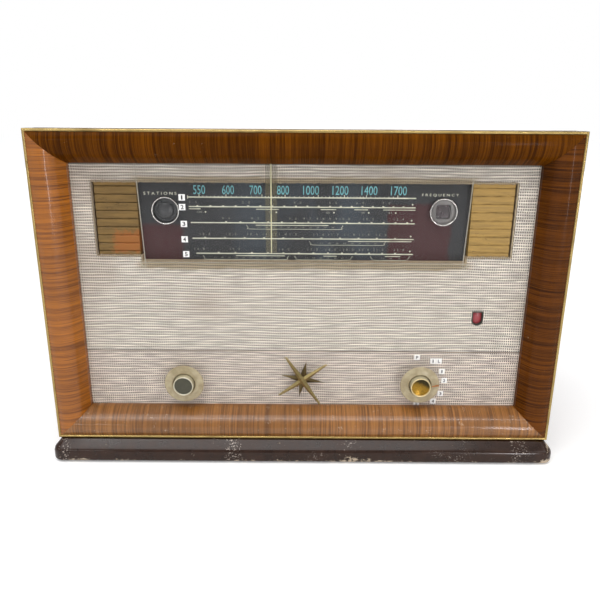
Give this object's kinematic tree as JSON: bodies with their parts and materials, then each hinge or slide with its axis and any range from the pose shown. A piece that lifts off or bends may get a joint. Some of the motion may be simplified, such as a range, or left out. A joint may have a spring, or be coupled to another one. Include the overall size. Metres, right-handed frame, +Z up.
{
  "type": "table-top valve radio",
  "caption": "Table-top valve radio: veneered cabinet with a framed cloth front, slide-rule dial with a cord-driven pointer and dual control knobs.",
  "frame": {"origin": "on the table top, under the middle of the set's overall box", "axes": "+X right seen from the front, +Y from the front to the back, +Z up; the dial and knobs face -Y"},
  "size_m": [0.551, 0.254, 0.3555],
  "materials": {
    "veneer": "semi-gloss",
    "plywood": "matte",
    "plinth_stain": "gloss",
    "brass": "satin",
    "gold_plate": "ribbed satin",
    "felt": "matte",
    "cloth": "woven",
    "glass": "clear",
    "dial_black": "satin",
    "chrome": "polished",
    "black_plastic": "satin",
    "pilot_red": "gloss",
    "knob_clear": "translucent",
    "knob_cream": "gloss",
    "steel": "satin",
    "phenolic": "satin",
    "alloy": "satin",
    "pointer_plastic": "translucent",
    "cord": "matte",
    "hardboard": "matte",
    "rubber": "matte"
  },
  "bodies": {
    "set": {"frame_top_rail": "veneer", "frame_bottom_rail": "veneer", "frame_left_stile": "veneer", "frame_right_stile": "veneer", "cabinet_top": "veneer", "cabinet_left_side": "veneer", "cabinet_right_side": "veneer", "cabinet_bottom": "plywood", "baffle_board": "plywood", "plinth_front": "plinth_stain", "plinth_left": "plinth_stain", "plinth_right": "plinth_stain", "plinth_back": "plinth_stain", "brass_edge_trim": "brass", "starburst_emblem": "brass", "shaft_bushes": "brass", "gold_panel_left": "gold_plate", "gold_panel_right": "gold_plate", "felt_feet": "felt", "grille_cloth": "cloth", "control_cloth": "cloth", "dial_glass": "glass", "valves": "glass", "lamps": "glass", "dial_back_plate": "dial_black", "dial_rings": "chrome", "indicator_mask": "black_plastic", "tuning_eye_tube": "black_plastic", "socket_panel": "black_plastic", "pilot_jewel": "pilot_red", "volume_tone_control": "steel", "pointer_rail": "steel", "pulley_posts": "steel", "speaker_basket": "steel", "transformers": "steel", "lamp_brackets": "steel", "chassis": "steel", "back_screws": "steel", "rear_sockets": "steel", "band_switch": "phenolic", "tuning_capacitor": "alloy", "chassis_cans": "alloy", "drive_cords": "cord", "back_cover": "hardboard", "mains_grommet": "rubber"},
    "volume_control": {"volume_knob": "knob_cream", "volume_shaft": "steel"},
    "tone_control": {"tone_ring": "knob_clear"},
    "tuning_spindle": {"tuning_knob": "knob_cream", "tuning_knob_cap": "brass", "tuning_shaft": "steel"},
    "band_control": {"band_ring": "knob_clear"},
    "band_rotor": {"band_switch_rotor": "steel"},
    "tuning_drum_and_rotor": {"tuning_drum": "phenolic", "capacitor_rotor": "alloy"},
    "left_pulley": {"pulley_left": "phenolic"},
    "right_pulley": {"pulley_right": "phenolic"},
    "pointer": {"pointer_blade": "pointer_plastic", "pointer_carriage": "pointer_plastic"},
    "cone": {"speaker_cone": "black_plastic"}
  },
  "joints": [
    {"name": "volume_turn", "type": "hinge", "parent": "set", "child": "volume_control", "pos_m": [-0.1303, -0.105, 0.0855], "axis": [0, 1, 0], "range_deg": [-200, 85]},
    {"name": "tone_turn", "type": "hinge", "parent": "set", "child": "tone_control", "pos_m": [-0.1303, -0.103, 0.0855], "axis": [0, 1, 0], "range_deg": [-135, 135]},
    {"name": "tuning_turn", "type": "hinge", "parent": "set", "child": "tuning_spindle", "pos_m": [0.1277, -0.105, 0.0855], "axis": [0, 1, 0], "range_deg": [-820.59, 1420.74]},
    {"name": "band_turn", "type": "hinge", "parent": "set", "child": "band_control", "pos_m": [0.1277, -0.103, 0.0855], "axis": [0, 1, 0], "range_deg": [-96, 98]},
    {"name": "band_rotor_turn", "type": "hinge", "parent": "set", "child": "band_rotor", "pos_m": [0.081, -0.074, 0.0855], "axis": [0, 1, 0], "range_deg": [-97, 99]},
    {"name": "drum_turn", "type": "hinge", "parent": "set", "child": "tuning_drum_and_rotor", "pos_m": [0.084, -0.06, 0.19], "axis": [0, 1, 0], "range_deg": [-66.37, 114.55]},
    {"name": "left_pulley_turn", "type": "hinge", "parent": "set", "child": "left_pulley", "pos_m": [-0.15, -0.06, 0.328], "axis": [0, 1, 0], "range_deg": [-572.6, 989.2]},
    {"name": "right_pulley_turn", "type": "hinge", "parent": "set", "child": "right_pulley", "pos_m": [0.2095, -0.06, 0.328], "axis": [0, 1, 0], "range_deg": [-572.6, 989.2]},
    {"name": "pointer_slide", "type": "slide", "parent": "set", "child": "pointer", "axis": [1, 0, 0], "range_m": [-0.0847, 0.1465]},
    {"name": "cone_travel", "type": "slide", "parent": "set", "child": "cone", "axis": [0, 1, 0], "range_m": [-0.0012, 0.0012], "stiffness_N_per_m": 1500}
  ],
  "couplings": [
    {"joint": "drum_turn", "follows": "tuning_turn", "ratio": 0.080272},
    {"joint": "left_pulley_turn", "follows": "tuning_turn", "ratio": 0.69412},
    {"joint": "right_pulley_turn", "follows": "tuning_turn", "ratio": 0.69412},
    {"joint": "pointer_slide", "follows": "tuning_turn", "m_per_rad": 0.0059},
    {"joint": "band_rotor_turn", "follows": "band_turn", "ratio": 1}
  ]
}
